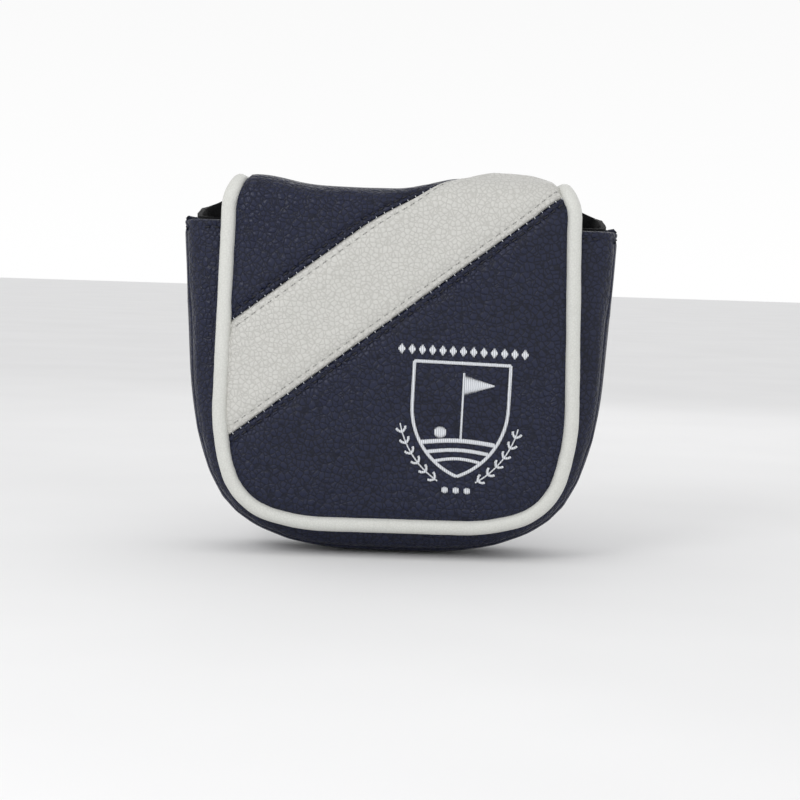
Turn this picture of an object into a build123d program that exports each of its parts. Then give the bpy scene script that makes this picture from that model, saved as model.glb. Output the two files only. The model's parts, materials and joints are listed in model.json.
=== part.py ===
from build123d import *
import math
import os

# Mallet putter head cover, millimetres. A padded pouch stands mouth up on its base,
# and a padded flap, sewn to the top of the back, folds over the mouth and hangs down
# the front. +Z is up, the flap is on the -Y side, and the origin is the middle of the
# base, on the surface that the cover stands on.

os.makedirs("parts", exist_ok=True)

# Layers of the sewn sandwich, outside to inside, with a hair of air between layers.
LAYER_GAP = 0.05
SKIN = 1.2
POUCH_FOAM = 3.0
POUCH_LINING = 1.75
FLAP_FOAM = 2.0
FLAP_LINING = 1.4

# Pouch. The outline is a chain of tangent arcs from the flat of the base to the side.
POUCH_DEPTH = 36.0
POUCH_EDGE_RADIUS = 8.0
BASE_HALF_FLAT = 12.0
BASE_ARC = (72.0, 23.0)
CORNER_ARC = (31.0, 45.0)
SIDE_ARC = (95.0, 18.5)
MOUTH_Z = 100.0
SHOULDER_HALF_WIDTH = 54.5
SHOULDER_Z = 105.3
SHOULDER_END_X = 67.0
HINGE_Z = 106.0
FORM_TOP_Z = 125.0

# Flap, in the section across the cover: up from the back seam, over and down the front.
FLAP_CLEARANCE = 0.3
FOLD_RADIUS = 8.0
FLAP_BOTTOM_Z = 7.8
FLAP_HALF_FLAT = 20.0
FLAP_LOW_ARC = (60.0, 17.0)
FLAP_CORNER_ARC = (21.5, 56.0)
FLAP_SIDE_ARC = (70.0, 18.4)
FLAP_SHOULDER_RADIUS = 100.0
FLAP_SHOULDER_Z = 97.5
SPLIT_GAP = 0.15

# Piping round the flap's edge, and the cord inside it.
PIPING_DIAMETER = 4.6
PIPING_CORD_DIAMETER = 2.6
PIPING_BORE = 2.7
PIPING_SEAM_GAP = 0.05

# The light stripe that crosses the flap, with its sewn rows.
STRIPE_ANGLE = 37.3
STRIPE_WIDTH = 27.4
STRIPE_LOW_Z = 73.5
STITCH_PITCH = 2.9
STITCH_LENGTH = 2.0
STITCH_WIDTH = 0.5
STITCH_HEIGHT = 0.25
ROW_IN_STRIPE = 2.1
ROW_OUTSIDE = 1.9
HEM_ROW_DROP = 2.3
BACK_ROW_DROP = 2.0

# Disc magnets of the closure.
MAGNET_DIAMETER = 15.0
POUCH_MAGNET_THICKNESS = 2.0
FLAP_MAGNET_THICKNESS = 1.6
MAGNET_X = 24.0
MAGNET_Z = 30.0
MAGNET_POCKET_CLEARANCE = 0.15

# Embroidered badge, a plain shield with a flag and a ball.
BADGE_X = 19.1
BADGE_TOP_Z = 60.2
BADGE_HALF_WIDTH = 14.9
BADGE_STRAIGHT = 13.6
BADGE_HEIGHT = 35.0
BADGE_BORDER = 1.3
BADGE_THREAD = 0.5
FLAG_DROP = 5.0
FLAG_POLE_WIDTH = 0.9
FLAG_POLE_HEIGHT = 19.0
FLAG_WIDTH = 7.5
FLAG_HEIGHT = 5.5
BALL_OFFSET = 5.0
BALL_DIAMETER = 3.6

# Worked out from the above.
POUCH_FACE = POUCH_DEPTH / 2
WALL = SKIN + POUCH_FOAM + POUCH_LINING + 2 * LAYER_GAP
GUSSET_HALF_WIDTH = POUCH_FACE - WALL
FLAP_THICKNESS = SKIN + FLAP_FOAM + FLAP_LINING + 2 * LAYER_GAP
FLAP_FACE = POUCH_FACE + FLAP_CLEARANCE + FLAP_THICKNESS
TOP_Z = HINGE_Z + FOLD_RADIUS
BACK_ARC_Y = POUCH_FACE - FOLD_RADIUS
FRONT_ARC_Y = FOLD_RADIUS - FLAP_FACE
FLAP_MID = FLAP_THICKNESS / 2
STRIPE_SLOPE = math.tan(math.radians(STRIPE_ANGLE))
STRIPE_HIGH_Z = STRIPE_LOW_Z + STRIPE_WIDTH / math.cos(math.radians(STRIPE_ANGLE))
FOLD_SPLIT = Plane(origin=(0, FRONT_ARC_Y, HINGE_Z), x_dir=(1, 0, 0), z_dir=(0, 1, 1))
FOLD_LINE_Y = FRONT_ARC_Y - FOLD_RADIUS * math.sin(math.radians(45))
FOLD_LINE_Z = HINGE_Z + FOLD_RADIUS * math.cos(math.radians(45))
ROW_HALF_WIDTH = 47.0
ROW_TOP_Z = HINGE_Z - STITCH_LENGTH
HEM_STITCHES = 39
BACK_STITCHES = 35
SPAN = 200.0


def pouch_form(inset):
    """Rounded block of the whole pouch, with its surface moved in by inset."""
    with BuildPart() as form:
        with BuildSketch(Plane.XZ):
            with BuildLine():
                base = Line((0, 0), (BASE_HALF_FLAT, 0))
                low = JernArc(base @ 1, base % 1, *BASE_ARC)
                corner = JernArc(low @ 1, low % 1, *CORNER_ARC)
                side = JernArc(corner @ 1, corner % 1, *SIDE_ARC)
                rise = (FORM_TOP_Z - (side @ 1).Y) / (side % 1).Y
                wall = Line(side @ 1, (side @ 1) + (side % 1) * rise)
                Line(wall @ 1, (0, FORM_TOP_Z))
                mirror(about=Plane.YZ)
            make_face()
            if inset > 0:
                offset(amount=-inset)
        extrude(amount=POUCH_FACE - inset, both=True)
        face_edges = form.faces().filter_by(Axis.Y).edges()
        rims = [e for e in face_edges if e.center().Z < FORM_TOP_Z - 2 * WALL]
        fillet(rims, POUCH_EDGE_RADIUS - inset)
    return form.part


def under_rim(form, drop):
    """Form cut off at the mouth's rim lowered by drop; the rim's back has shoulders."""
    with BuildPart() as trimmed:
        add(form)
        with BuildSketch(Plane.XZ.offset(-GUSSET_HALF_WIDTH)):
            with Locations((0, MOUTH_Z - drop)):
                Rectangle(SPAN, SPAN, align=(Align.CENTER, Align.MIN))
        extrude(amount=SPAN, mode=Mode.SUBTRACT)
        with BuildSketch(Plane.XZ.offset(-GUSSET_HALF_WIDTH)):
            with BuildLine():
                shoulder = Polyline(
                    (0, SHOULDER_Z - drop),
                    (SHOULDER_HALF_WIDTH, SHOULDER_Z - drop),
                    (SHOULDER_END_X, MOUTH_Z - drop),
                    (SPAN, MOUTH_Z - drop),
                    (SPAN, SPAN),
                    (0, SPAN),
                )
                mirror(about=Plane.YZ)
            make_face()
        extrude(amount=-SPAN, mode=Mode.SUBTRACT)
    return trimmed.part


def flap_region(inset):
    """Area under the flap in the section across the cover, moved in by inset."""
    with BuildSketch(Plane.YZ.offset(-SPAN / 2)) as region:
        with BuildLine():
            back = Line((POUCH_FACE - inset, -1), (POUCH_FACE - inset, HINGE_Z))
            rear = JernArc(back @ 1, back % 1, FOLD_RADIUS - inset, 90)
            top = Line(rear @ 1, (FRONT_ARC_Y, TOP_Z - inset))
            fore = JernArc(top @ 1, top % 1, FOLD_RADIUS - inset, 90)
            front = Line(fore @ 1, (inset - FLAP_FACE, -1))
            Line(front @ 1, back @ 0)
        make_face()
    return region.sketch


def flap_edge(inset, top_z):
    """Flap's edge line seen from the front, moved in by inset, drawn in the XY plane."""
    bend = (FLAP_LOW_ARC, FLAP_CORNER_ARC, FLAP_SIDE_ARC)
    lean = sum(arc for radius, arc in bend) - 90
    low_z = FLAP_BOTTOM_Z + inset
    with BuildLine() as edge:
        piece = Line((0, low_z), (FLAP_HALF_FLAT, low_z))
        for radius, arc in bend:
            piece = JernArc(piece @ 1, piece % 1, radius - inset, arc)
        rise = (FLAP_SHOULDER_Z - (piece @ 1).Y) / (piece % 1).Y
        piece = Line(piece @ 1, (piece @ 1) + (piece % 1) * rise)
        piece = JernArc(piece @ 1, piece % 1, FLAP_SHOULDER_RADIUS + inset, -lean)
        Line(piece @ 1, ((piece @ 1).X, top_z))
        mirror(about=Plane.YZ)
    return edge.line


def flap_layer(outer, inner, edge_inset):
    """One layer of the whole flap, between two depths below its outer face."""
    edge = flap_edge(edge_inset, FORM_TOP_Z)
    over = flap_region(outer)
    under = flap_region(inner)
    with BuildPart() as layer:
        extrude(over, amount=SPAN, dir=(1, 0, 0))
        extrude(under, amount=SPAN, dir=(1, 0, 0), mode=Mode.SUBTRACT)
        with BuildSketch(Plane.XZ.offset(-SPAN / 2)):
            with BuildLine():
                add(edge)
                left, right = edge.vertices().group_by(Axis.Y)[-1]
                Line((left.X, left.Y), (right.X, right.Y))
            make_face()
        extrude(amount=SPAN, mode=Mode.INTERSECT)
        with BuildSketch(Plane.XZ):
            with Locations((0, HINGE_Z + SPLIT_GAP)):
                Rectangle(SPAN, SPAN, align=(Align.CENTER, Align.MAX))
        extrude(amount=-SPAN / 2, mode=Mode.SUBTRACT)
    return layer.part


def stripe_row(distance):
    """Middles of one row of stitches, beside the stripe's lower edge by distance."""
    turn = math.radians(STRIPE_ANGLE)
    half_count = int(SPAN / STITCH_PITCH)
    steps = [STITCH_PITCH * index for index in range(-half_count, half_count)]
    places = [
        (
            step * math.cos(turn) - distance * math.sin(turn),
            STRIPE_LOW_Z + step * math.sin(turn) + distance * math.cos(turn),
        )
        for step in steps
    ]
    return [(x, z) for x, z in places if abs(x) < ROW_HALF_WIDTH and z < ROW_TOP_Z]


def write(part, name):
    """Label a finished piece and write its file."""
    part.label = name
    export_step(part, f"parts/{name}.step")


# Pouch. Three nested shells, each cut into a front, a gusset and a back. The skin is
# turned in over the foam along the mouth and meets the lining there.
foam_in = SKIN + LAYER_GAP
foam_out = foam_in + POUCH_FOAM
lining_in = foam_out + LAYER_GAP

outside = under_rim(pouch_form(0), 0)
turned_hem = under_rim(pouch_form(SKIN), SKIN)
foam_outside = under_rim(pouch_form(foam_in), foam_in)
foam_inside = pouch_form(foam_out)
lining_outside = under_rim(pouch_form(lining_in), 0)
hollow = pouch_form(WALL)

with BuildPart() as skin_shell:
    add(outside)
    add(turned_hem, mode=Mode.SUBTRACT)
    add(foam_inside, mode=Mode.SUBTRACT)

with BuildPart() as foam_shell:
    add(foam_outside)
    add(foam_inside, mode=Mode.SUBTRACT)

with BuildPart() as lining_shell:
    add(lining_outside)
    add(hollow, mode=Mode.SUBTRACT)

front_cut = Plane.XZ.offset(GUSSET_HALF_WIDTH)
back_cut = Plane.XZ.offset(-GUSSET_HALF_WIDTH)
pouch_layers = (("panel", skin_shell), ("foam", foam_shell), ("lining", lining_shell))

# Pockets through the front's foam hold the pouch's magnets.
magnet_spots = [(-MAGNET_X, MAGNET_Z), (MAGNET_X, MAGNET_Z)]

for layer_name, shell in pouch_layers:
    with BuildPart() as front_piece:
        add(shell.part)
        split(bisect_by=front_cut, keep=Keep.TOP)
        if layer_name == "foam":
            with BuildSketch(Plane.XZ):
                with Locations(*magnet_spots):
                    Circle(MAGNET_DIAMETER / 2 + MAGNET_POCKET_CLEARANCE)
            extrude(amount=SPAN, mode=Mode.SUBTRACT)
    write(front_piece.part, f"front_{layer_name}")

    with BuildPart() as gusset_piece:
        add(shell.part)
        split(bisect_by=front_cut, keep=Keep.BOTTOM)
        split(bisect_by=back_cut, keep=Keep.TOP)
    write(gusset_piece.part, f"gusset_{layer_name}")

    with BuildPart() as back_piece:
        add(shell.part)
        split(bisect_by=back_cut, keep=Keep.BOTTOM)
    write(back_piece.part, f"back_{layer_name}")

with BuildPart() as pouch_magnets:
    with BuildSketch(Plane.XZ.offset(POUCH_FACE - foam_in - POUCH_MAGNET_THICKNESS)):
        with Locations(*magnet_spots):
            Circle(MAGNET_DIAMETER / 2)
    extrude(amount=POUCH_MAGNET_THICKNESS)
write(pouch_magnets.part, "pouch_magnets")

# Row of stitches that holds the turned hem along the front of the mouth.
with BuildPart() as hem_stitching:
    with BuildSketch(Plane.XZ.offset(POUCH_FACE)):
        with Locations((0, MOUTH_Z - HEM_ROW_DROP)):
            with GridLocations(STITCH_PITCH, 0, HEM_STITCHES, 1):
                SlotOverall(STITCH_LENGTH, STITCH_WIDTH)
    extrude(amount=STITCH_HEIGHT)
write(hem_stitching.part, "hem_stitching")

# Row of stitches across the back, where the flap's foot is sewn to the back panel.
with BuildPart() as back_stitching:
    with BuildSketch(Plane.XZ.offset(-POUCH_FACE)):
        with Locations((0, SHOULDER_Z - BACK_ROW_DROP)):
            with GridLocations(STITCH_PITCH, 0, BACK_STITCHES, 1):
                SlotOverall(STITCH_LENGTH, STITCH_WIDTH)
    extrude(amount=-STITCH_HEIGHT)
write(back_stitching.part, "back_stitching")

# Flap. The three layers are cut at the middle of the front fold into a top and a front.
flap_foam_in = SKIN + LAYER_GAP
flap_foam_out = flap_foam_in + FLAP_FOAM
flap_lining_in = flap_foam_out + LAYER_GAP
edge_inset = PIPING_DIAMETER + PIPING_SEAM_GAP
flap_skin = flap_layer(0, SKIN, edge_inset)
flap_padding = flap_layer(flap_foam_in, flap_foam_out, edge_inset)
flap_inside = flap_layer(flap_lining_in, FLAP_THICKNESS, edge_inset)
top_cut = FOLD_SPLIT.offset(SPLIT_GAP)
front_of_fold = FOLD_SPLIT.offset(-SPLIT_GAP)

# The stripe's upper edge meets the fold here and goes on at the same angle over the top.
turn_x = (FOLD_LINE_Z - STRIPE_HIGH_Z) / STRIPE_SLOPE

with BuildPart() as top_stripe:
    add(flap_skin)
    split(bisect_by=top_cut, keep=Keep.TOP)
    with BuildSketch(Plane.XY):
        with Locations(Location((turn_x, FOLD_LINE_Y), STRIPE_ANGLE)):
            Rectangle(2 * SPAN, SPAN, align=(Align.CENTER, Align.MAX))
    extrude(amount=SPAN, mode=Mode.INTERSECT)
write(top_stripe.part, "top_stripe")

with BuildPart() as top_panel:
    add(flap_skin)
    split(bisect_by=top_cut, keep=Keep.TOP)
    with BuildSketch(Plane.XY):
        with Locations(Location((turn_x, FOLD_LINE_Y), STRIPE_ANGLE)):
            Rectangle(2 * SPAN, SPAN, align=(Align.CENTER, Align.MAX))
    extrude(amount=SPAN, mode=Mode.SUBTRACT)
write(top_panel.part, "top_panel")

with BuildPart() as top_foam:
    add(flap_padding)
    split(bisect_by=top_cut, keep=Keep.TOP)
write(top_foam.part, "top_foam")

with BuildPart() as top_lining:
    add(flap_inside)
    split(bisect_by=top_cut, keep=Keep.TOP)
write(top_lining.part, "top_lining")

# The front's skin is three pieces joined edge to edge along the stripe's two seams.
bands = (
    ("lower_panel", -SPAN, 0),
    ("stripe", 0, STRIPE_WIDTH),
    ("upper_panel", STRIPE_WIDTH, SPAN),
)
for band_name, low, high in bands:
    with BuildPart() as band_piece:
        add(flap_skin)
        split(bisect_by=front_of_fold, keep=Keep.BOTTOM)
        with BuildSketch(Plane.XZ):
            with Locations(Location((0, STRIPE_LOW_Z), STRIPE_ANGLE)):
                with Locations((0, low)):
                    Rectangle(2 * SPAN, high - low, align=(Align.CENTER, Align.MIN))
        extrude(amount=SPAN, mode=Mode.INTERSECT)
    write(band_piece.part, f"flap_{band_name}")

with BuildPart() as flap_foam:
    add(flap_padding)
    split(bisect_by=front_of_fold, keep=Keep.BOTTOM)
    with BuildSketch(Plane.XZ):
        with Locations(*magnet_spots):
            Circle(MAGNET_DIAMETER / 2 + MAGNET_POCKET_CLEARANCE)
    extrude(amount=SPAN, mode=Mode.SUBTRACT)
write(flap_foam.part, "flap_foam")

with BuildPart() as flap_lining:
    add(flap_inside)
    split(bisect_by=front_of_fold, keep=Keep.BOTTOM)
write(flap_lining.part, "flap_lining")

with BuildPart() as flap_magnets:
    with BuildSketch(Plane.XZ.offset(FLAP_FACE - flap_foam_in - FLAP_MAGNET_THICKNESS)):
        with Locations(*magnet_spots):
            Circle(MAGNET_DIAMETER / 2)
    extrude(amount=FLAP_MAGNET_THICKNESS)
write(flap_magnets.part, "flap_magnets")

# Piping: a leather sleeve with a cord in it, swept round the flap's edge and turned
# about the fold's centre line at each shoulder.
mid_line = flap_edge(PIPING_DIAMETER / 2, HINGE_Z)
edge_path = Plane.XZ.offset(FLAP_FACE - FLAP_MID) * mid_line
edge_x = mid_line.bounding_box().max.X
shoulder_x = max(vertex.X for vertex in mid_line.vertices().group_by(Axis.Y)[-1])
fold_axis = Axis((0, FRONT_ARC_Y, HINGE_Z), (1, 0, 0))
rear_axis = Axis((0, BACK_ARC_Y, HINGE_Z), (1, 0, 0))
tube_sizes = (
    ("piping", PIPING_DIAMETER, PIPING_BORE),
    ("piping_cord", PIPING_CORD_DIAMETER, 0),
)

for tube_name, outside, bore in tube_sizes:
    with BuildPart() as front_tube:
        with BuildSketch(Plane(origin=edge_path @ 0, z_dir=edge_path % 0)):
            Circle(outside / 2)
            if bore > 0:
                Circle(bore / 2, mode=Mode.SUBTRACT)
        sweep(path=edge_path)
        for side in (-1, 1):
            spot = (side * shoulder_x, FLAP_MID - FLAP_FACE, HINGE_Z)
            with BuildSketch(Plane(origin=spot, z_dir=(0, 0, 1))):
                Circle(outside / 2)
                if bore > 0:
                    Circle(bore / 2, mode=Mode.SUBTRACT)
            revolve(axis=fold_axis, revolution_arc=-90)
        split(bisect_by=front_of_fold, keep=Keep.BOTTOM)
    write(front_tube.part, f"flap_{tube_name}")

    with BuildPart() as top_tube:
        for side in (-1, 1):
            spot = (side * shoulder_x, FLAP_MID - FLAP_FACE, HINGE_Z)
            with BuildSketch(Plane(origin=spot, z_dir=(0, 0, 1))):
                Circle(outside / 2)
                if bore > 0:
                    Circle(bore / 2, mode=Mode.SUBTRACT)
            revolve(axis=fold_axis, revolution_arc=-90)
            rear_spot = (side * shoulder_x, BACK_ARC_Y, TOP_Z - FLAP_MID)
            with BuildSketch(Plane(origin=rear_spot, z_dir=(0, -1, 0))):
                Circle(outside / 2)
                if bore > 0:
                    Circle(bore / 2, mode=Mode.SUBTRACT)
            extrude(amount=BACK_ARC_Y - FRONT_ARC_Y)
            rear_foot = (side * shoulder_x, POUCH_FACE - FLAP_MID, HINGE_Z)
            with BuildSketch(Plane(origin=rear_foot, z_dir=(0, 0, 1))):
                Circle(outside / 2)
                if bore > 0:
                    Circle(bore / 2, mode=Mode.SUBTRACT)
            revolve(axis=rear_axis, revolution_arc=90)
        split(bisect_by=top_cut, keep=Keep.TOP)
        split(bisect_by=Plane.XY.offset(HINGE_Z + SPLIT_GAP), keep=Keep.TOP)
    write(top_tube.part, f"top_{tube_name}")

# Rows of stitches along the stripe: dark thread on the panels, light thread on the stripe.
thread_rows = (
    ("panel_stitching", (-ROW_OUTSIDE, STRIPE_WIDTH + ROW_OUTSIDE)),
    ("stripe_stitching", (ROW_IN_STRIPE, STRIPE_WIDTH - ROW_IN_STRIPE)),
)
for thread_name, distances in thread_rows:
    with BuildPart() as thread_row:
        with BuildSketch(Plane.XZ.offset(FLAP_FACE)):
            for distance in distances:
                with Locations(*stripe_row(distance)):
                    SlotOverall(STITCH_LENGTH, STITCH_WIDTH, rotation=STRIPE_ANGLE)
        extrude(amount=STITCH_HEIGHT)
    write(thread_row.part, f"flap_{thread_name}")

# Embroidered badge: a shield's border, and a flag, a ball and a mound inside it.
badge_right = BADGE_X + BADGE_HALF_WIDTH
badge_tip_z = BADGE_TOP_Z - BADGE_HEIGHT
with BuildPart() as badge:
    with BuildSketch(Plane.XZ.offset(FLAP_FACE)) as badge_face:
        with BuildLine():
            crown = Line((BADGE_X, BADGE_TOP_Z), (badge_right, BADGE_TOP_Z))
            flank = Line(crown @ 1, (badge_right, BADGE_TOP_Z - BADGE_STRAIGHT))
            TangentArc(flank @ 1, (BADGE_X, badge_tip_z), tangent=(0, -1))
            mirror(about=Plane.YZ.offset(BADGE_X))
        make_face()
        offset(amount=-BADGE_BORDER, mode=Mode.SUBTRACT)
        with Locations((BADGE_X, BADGE_TOP_Z - FLAG_DROP)):
            Rectangle(FLAG_POLE_WIDTH, FLAG_POLE_HEIGHT, align=(Align.CENTER, Align.MAX))
            Rectangle(FLAG_WIDTH, FLAG_HEIGHT, align=(Align.MIN, Align.MAX))
        with Locations((BADGE_X - BALL_OFFSET, BADGE_TOP_Z - FLAG_DROP - FLAG_POLE_HEIGHT)):
            Circle(BALL_DIAMETER / 2)
    extrude(amount=BADGE_THREAD)
write(badge.part, "badge")
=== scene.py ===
# %% [markdown]
# A padded cover for a mallet putter head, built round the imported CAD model. The CAD
# gives the sizes, the bodies and the joints. This lesson adds what a sewing room adds:
# padded leather with grain, sewn seams, piping, fleece, thread and an embroidered badge.

# %% The frame
import bmesh
import bpy
import json
import math
from mathutils import Matrix, Vector, kdtree, noise

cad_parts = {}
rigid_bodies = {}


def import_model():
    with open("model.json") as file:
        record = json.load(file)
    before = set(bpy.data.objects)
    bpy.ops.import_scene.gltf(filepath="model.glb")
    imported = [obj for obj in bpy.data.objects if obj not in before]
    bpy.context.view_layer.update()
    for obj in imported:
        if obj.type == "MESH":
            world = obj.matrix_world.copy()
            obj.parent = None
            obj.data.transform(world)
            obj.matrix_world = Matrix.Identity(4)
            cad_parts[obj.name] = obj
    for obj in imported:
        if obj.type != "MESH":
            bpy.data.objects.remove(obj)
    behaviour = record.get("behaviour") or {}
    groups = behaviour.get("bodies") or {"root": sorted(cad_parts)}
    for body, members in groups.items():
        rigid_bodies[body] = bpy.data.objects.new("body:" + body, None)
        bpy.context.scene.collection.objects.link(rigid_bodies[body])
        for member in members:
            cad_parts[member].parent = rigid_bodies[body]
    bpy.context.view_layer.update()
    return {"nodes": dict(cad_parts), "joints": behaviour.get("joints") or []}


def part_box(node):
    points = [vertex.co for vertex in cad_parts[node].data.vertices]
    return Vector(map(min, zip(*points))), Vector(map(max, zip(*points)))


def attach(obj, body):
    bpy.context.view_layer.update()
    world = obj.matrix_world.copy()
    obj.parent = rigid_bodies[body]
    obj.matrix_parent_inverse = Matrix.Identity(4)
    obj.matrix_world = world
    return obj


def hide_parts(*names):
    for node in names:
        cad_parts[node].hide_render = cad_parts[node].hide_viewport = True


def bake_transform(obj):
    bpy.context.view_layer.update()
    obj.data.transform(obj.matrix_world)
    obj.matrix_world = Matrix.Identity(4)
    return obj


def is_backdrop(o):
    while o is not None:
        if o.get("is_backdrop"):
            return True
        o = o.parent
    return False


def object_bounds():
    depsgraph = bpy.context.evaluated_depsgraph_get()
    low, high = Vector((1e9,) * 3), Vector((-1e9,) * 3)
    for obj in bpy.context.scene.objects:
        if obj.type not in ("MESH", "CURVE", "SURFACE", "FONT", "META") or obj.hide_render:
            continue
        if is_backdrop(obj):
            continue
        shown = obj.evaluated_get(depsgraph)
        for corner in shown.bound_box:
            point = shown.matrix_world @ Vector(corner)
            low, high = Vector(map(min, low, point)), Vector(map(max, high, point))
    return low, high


for leftover in list(bpy.data.objects):
    bpy.data.objects.remove(leftover)
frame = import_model()

# %% [markdown]
# Leather work is thought of in millimetres, so every length below is in millimetres and
# is turned into metres once, when a mesh is finished. Heights and depths come from the
# boxes of the CAD nodes and from the joints, and the outlines repeat the CAD's arcs.

# %% Sizes read from the frame
MM = 0.001


def box_mm(node):
    """Lowest and highest corner of a CAD node, in millimetres."""
    low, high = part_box(node)
    return Vector(low) / MM, Vector(high) / MM


joints = {joint["name"]: joint for joint in frame["joints"]}
HINGE_Z = joints["flap_hinge"]["pos_m"][2] / MM
BACK_Y = joints["flap_hinge"]["pos_m"][1] / MM
MOUTH_Z = box_mm("front_panel")[1].z
HEM_ROW_Z = MOUTH_Z - 2.3
SHOULDER_Z = box_mm("back_panel")[1].z
SEAM_Y = box_mm("gusset_panel")[1].y
FLAP_FACE = -box_mm("flap_lower_panel")[0].y
TOP_Z = box_mm("top_panel")[1].z
FLAP_LOW_Z = box_mm("flap_piping")[0].z
FLAP_HALF = box_mm("flap_piping")[1].x
FOLD_R = TOP_Z - HINGE_Z
print("mouth", MOUTH_Z, "hinge", HINGE_Z, "flap face", FLAP_FACE, "fold radius", FOLD_R)

# %% [markdown]
# The camera looks at the front a little from above, and is rolled a touch, because the
# cover leans to one side as it stands. A long lens keeps the sides nearly parallel.

# %% Camera
CAMERA_DISTANCE = 578.6
CAMERA_RISE = 4.0
CAMERA_ROLL = 1.81
CAMERA_LENS = 87.5
AIM = Vector((1.2, -FLAP_FACE, 48.1))

camera = bpy.data.objects.new("camera", bpy.data.cameras.new("camera"))
bpy.context.scene.collection.objects.link(camera)
camera.data.lens = CAMERA_LENS
camera.data.clip_start = 0.01
rise = math.radians(CAMERA_RISE)
back_off = Vector((0, -math.cos(rise), math.sin(rise))) * CAMERA_DISTANCE
camera.location = (AIM + back_off) * MM
turn = (-back_off).to_track_quat("-Z", "Y").to_matrix()
roll = Matrix.Rotation(math.radians(CAMERA_ROLL), 3, "Z")
camera.rotation_euler = (turn @ roll).to_euler()
bpy.context.scene.camera = camera
bpy.context.scene.view_settings.view_transform = "Standard"
print("camera at", tuple(round(value, 4) for value in camera.location))

# %% [markdown]
# Studio light for a catalogue picture is broad and soft. A big key light stands above
# and in front on the left, a weaker one fills from the right and one from behind, and the
# pale studio fills the rest. Each lamp has a name, a place, a width in mm and a power.

# %% Lights
AIM_OF_LIGHTS = Vector((0, 0, 55))
LIGHTS = (
    ("key", (-320, -520, 430), 260, 1.15),
    ("fill", (380, -560, 200), 380, 0.25),
    ("back", (160, 560, 380), 420, 0.3),
)
for name, place, size, power in LIGHTS:
    lamp = bpy.data.objects.new(name, bpy.data.lights.new(name, "AREA"))
    bpy.context.scene.collection.objects.link(lamp)
    lamp.data.size = size * MM
    lamp.data.energy = power
    lamp.location = Vector(place) * MM
    way = AIM_OF_LIGHTS - Vector(place)
    lamp.rotation_euler = way.to_track_quat("-Z", "Y").to_euler()
print(len(LIGHTS), "lamps")

# %% [markdown]
# A material is a small graph of nodes. These helpers keep the graphs short to write: one
# makes a node and sets its sockets, one makes a colour ramp, one does a sum, and one
# gives the shader its colour, its bump and its roughness. Textures sit on the object's
# own coordinates, so the grain stays on the leather when the cover moves.

# %% Node helpers
def node(tree, kind, links=(), **values):
    """New node. values set properties or sockets; links are (socket, source) pairs."""
    made = tree.nodes.new(kind)
    for key, value in values.items():
        if hasattr(made, key):
            setattr(made, key, value)
        else:
            made.inputs[key.replace("_", " ")].default_value = value
    for socket, source in links:
        tree.links.new(source, made.inputs[socket])
    return made


def ramp(tree, source, stops):
    """Colour ramp driven by source. stops are (position, colour) pairs."""
    made = node(tree, "ShaderNodeValToRGB", [("Fac", source)])
    while len(made.color_ramp.elements) < len(stops):
        made.color_ramp.elements.new(0.5)
    for element, (position, colour) in zip(made.color_ramp.elements, stops):
        element.position = position
        element.color = (*colour, 1)
    return made.outputs["Color"]


def maths(tree, operation, first, second):
    """Math node on a source and a number or a second source."""
    made = node(tree, "ShaderNodeMath", [(0, first)], operation=operation)
    if isinstance(second, (int, float)):
        made.inputs[1].default_value = second
    else:
        tree.links.new(second, made.inputs[1])
    return made.outputs[0]


def new_material(name):
    """Empty material; returns it, its tree, its shader and the object's coordinates."""
    material = bpy.data.materials.new(name)
    material.use_nodes = True
    tree = material.node_tree
    place = node(tree, "ShaderNodeTexCoord").outputs["Object"]
    return material, tree, tree.nodes["Principled BSDF"], place


def finish_surface(tree, shader, colour, height, strength, depth, rough):
    """Colour, a bump of depth mm and a roughness for a shader."""
    tree.links.new(colour, shader.inputs["Base Color"])
    bump = node(
        tree, "ShaderNodeBump", [("Height", height)], Strength=strength, Distance=depth * MM
    )
    tree.links.new(bump.outputs["Normal"], shader.inputs["Normal"])
    shader.inputs["Roughness"].default_value = rough


# %% [markdown]
# The walls of the studio are bright and its ceiling is dimmer, so the cover is lit more
# from the front than from above. The sky's colour is a ramp over the height of the way.

# %% Studio walls
world = bpy.data.worlds.new("studio")
world.use_nodes = True
sky = world.node_tree
way = node(sky, "ShaderNodeTexCoord").outputs["Generated"]
upward = node(sky, "ShaderNodeSeparateXYZ", [("Vector", way)]).outputs["Z"]
walls = ((0.0, (1.0, 1.0, 1.0)), (0.3, (0.90, 0.90, 0.90)), (1.0, (0.72, 0.72, 0.73)))
sky.links.new(ramp(sky, upward, walls), sky.nodes["Background"].inputs["Color"])
bpy.context.scene.world = world

# %% [markdown]
# Coated leather is embossed with a pebble grain: rounded cells with fine valleys between
# them. Voronoi cells give the pebbles, once at the size of the grain and once finer, and
# noise bends the cells so that they don't look like tiles. A slow noise varies how deep
# and how shiny the grain is from place to place, as on a real hide print.

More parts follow.
